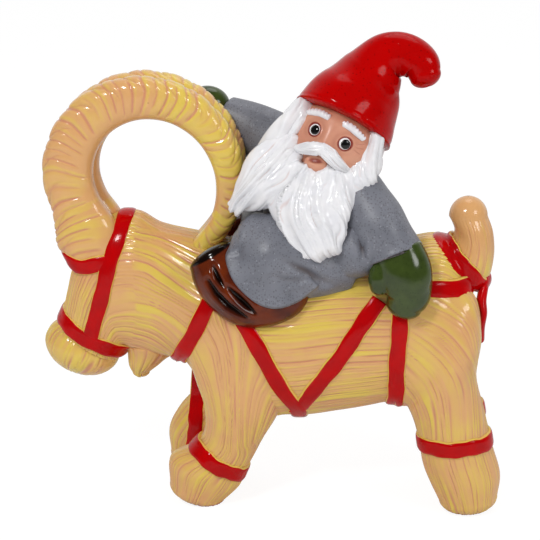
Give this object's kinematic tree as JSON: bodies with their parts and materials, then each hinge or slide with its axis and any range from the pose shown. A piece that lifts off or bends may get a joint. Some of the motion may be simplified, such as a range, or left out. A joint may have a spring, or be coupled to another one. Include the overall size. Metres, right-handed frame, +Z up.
{
  "type": "ceramic tomte figurine",
  "caption": "Free-standing glazed ceramic figurine of a bearded tomte in a tall red cap riding a straw Yule goat with curled horns.",
  "frame": {"origin": "on the plane of the four soles, under the middle of the figurine's bounding box", "axes": "+Z up; -X is where the goat looks, +X its tail; the tomte's face looks along -Y; Y runs across the figurine"},
  "size_m": [0.2132, 0.082, 0.2173],
  "materials": {
    "straw_glaze": "glossy straw-yellow glaze over peach clay grooves",
    "ribbon_glaze": "glossy red glaze",
    "cap_glaze": "glossy red glaze with fine dark speckles",
    "coat_glaze": "satin speckled blue-grey glaze",
    "mitten_glaze": "glossy dark green glaze",
    "boot_glaze": "glossy dark brown glaze",
    "white_glaze": "glossy white glaze, thin on the ridges",
    "skin_glaze": "satin terracotta slip",
    "eye_white_glaze": "glossy white glaze",
    "pupil_glaze": "glossy black glaze"
  },
  "bodies": {
    "root": {"goat_barrel": "straw_glaze", "goat_head": "straw_glaze", "goat_muzzle": "straw_glaze", "goat_beard": "straw_glaze", "goat_tail": "straw_glaze", "front_left_leg": "straw_glaze", "front_right_leg": "straw_glaze", "hind_left_leg": "straw_glaze", "hind_right_leg": "straw_glaze", "left_horn": "straw_glaze", "right_horn": "straw_glaze", "nose_band": "ribbon_glaze", "headstall": "ribbon_glaze", "brow_band": "ribbon_glaze", "neck_band": "ribbon_glaze", "v_girth": "ribbon_glaze", "hind_girth": "ribbon_glaze", "crupper": "ribbon_glaze", "left_side_strap": "ribbon_glaze", "right_side_strap": "ribbon_glaze", "rump_knot": "ribbon_glaze", "upper_ribbon_end": "ribbon_glaze", "lower_ribbon_end": "ribbon_glaze", "front_left_ankle_band": "ribbon_glaze", "front_right_ankle_band": "ribbon_glaze", "hind_left_ankle_band": "ribbon_glaze", "hind_right_ankle_band": "ribbon_glaze", "hat": "cap_glaze", "coat": "coat_glaze", "left_sleeve": "coat_glaze", "right_sleeve": "coat_glaze", "left_mitten": "mitten_glaze", "right_mitten": "mitten_glaze", "left_leg": "boot_glaze", "right_leg": "boot_glaze", "hair": "white_glaze", "beard": "white_glaze", "moustache": "white_glaze", "left_eyebrow": "white_glaze", "right_eyebrow": "white_glaze", "face": "skin_glaze", "lower_lip": "skin_glaze", "left_eye": "eye_white_glaze", "right_eye": "eye_white_glaze", "left_pupil": "pupil_glaze", "right_pupil": "pupil_glaze"}
  },
  "joints": []
}
